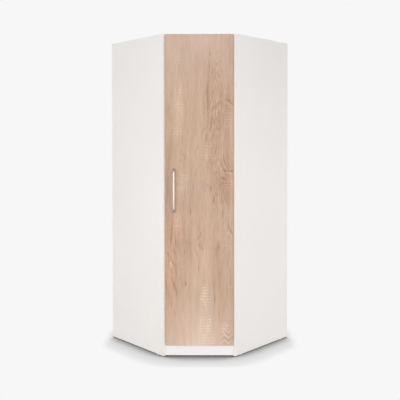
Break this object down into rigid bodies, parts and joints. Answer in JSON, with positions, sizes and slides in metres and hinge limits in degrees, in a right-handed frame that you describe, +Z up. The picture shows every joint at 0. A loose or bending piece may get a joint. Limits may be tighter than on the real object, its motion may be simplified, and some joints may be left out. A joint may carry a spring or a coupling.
{
  "type": "corner wardrobe",
  "caption": "Corner wardrobe with a pentagonal plan and a diagonal oak-decor door, with a bow handle, hat shelf and clothes rail.",
  "frame": {"origin": "on the floor, under the centre of the overall box", "axes": "+Z up, the door faces -Y, the room's corner is at +Y, +X to the right as seen from the front"},
  "size_m": [1.1738, 0.9828, 1.97],
  "materials": {
    "white_board": "white melamine, fine texture",
    "oak_decor": "pale oak decor, matt",
    "white_hardboard": "white-faced hardboard",
    "handle_metal": "satin nickel",
    "rail_chrome": "polished",
    "hinge_steel": "nickel-plated",
    "hinge_cup_zinc": "nickel-plated casting",
    "cam_zinc": "bare zinc casting",
    "white_plastic": "moulded",
    "bumper_rubber": "soft, translucent"
  },
  "bodies": {
    "cabinet": {"left_side_panel": "white_board", "right_side_panel": "white_board", "top_panel": "white_board", "bottom_panel": "white_board", "hat_shelf": "white_board", "left_corner_stile": "white_board", "right_corner_stile": "white_board", "front_plinth": "white_board", "corner_block": "white_plastic", "left_back_panel": "white_hardboard", "right_back_panel": "white_hardboard", "clothes_rail": "rail_chrome", "left_rail_bracket": "rail_chrome", "right_rail_bracket": "rail_chrome", "left_wall_bracket": "hinge_steel", "right_wall_bracket": "hinge_steel", "left_plinth_block": "white_plastic", "right_plinth_block": "white_plastic", "left_front_glide": "white_plastic", "left_rear_glide": "white_plastic", "left_corner_glide": "white_plastic", "right_front_glide": "white_plastic", "right_rear_glide": "white_plastic", "right_corner_glide": "white_plastic", "left_front_shelf_pin": "hinge_steel", "left_rear_shelf_pin": "hinge_steel", "left_corner_shelf_pin": "hinge_steel", "right_front_shelf_pin": "hinge_steel", "right_rear_shelf_pin": "hinge_steel", "right_corner_shelf_pin": "hinge_steel", "top_cam_left_front": "cam_zinc", "top_cam_left_rear": "cam_zinc", "top_cam_right_front": "cam_zinc", "top_cam_right_rear": "cam_zinc", "bottom_cam_left_front": "cam_zinc", "bottom_cam_left_rear": "cam_zinc", "bottom_cam_right_front": "cam_zinc", "bottom_cam_right_rear": "cam_zinc", "hinge_arm_1": "hinge_steel", "hinge_arm_2": "hinge_steel", "hinge_arm_3": "hinge_steel", "hinge_arm_4": "hinge_steel", "hinge_plate_1": "hinge_steel", "hinge_plate_2": "hinge_steel", "hinge_plate_3": "hinge_steel", "hinge_plate_4": "hinge_steel"},
    "door": {"door_panel": "oak_decor", "handle": "handle_metal", "handle_screw_lower": "hinge_steel", "handle_screw_upper": "hinge_steel", "door_bumper_lower": "bumper_rubber", "door_bumper_upper": "bumper_rubber", "hinge_cup_1": "hinge_cup_zinc", "hinge_cup_2": "hinge_cup_zinc", "hinge_cup_3": "hinge_cup_zinc", "hinge_cup_4": "hinge_cup_zinc", "hinge_pin_1": "hinge_steel", "hinge_pin_2": "hinge_steel", "hinge_pin_3": "hinge_steel", "hinge_pin_4": "hinge_steel"}
  },
  "joints": [
    {"name": "door_hinge", "type": "hinge", "parent": "cabinet", "child": "door", "pos_m": [0.19825, -0.44943, 1.0195], "axis": [0, 0, 1], "range_deg": [0, 95]}
  ]
}
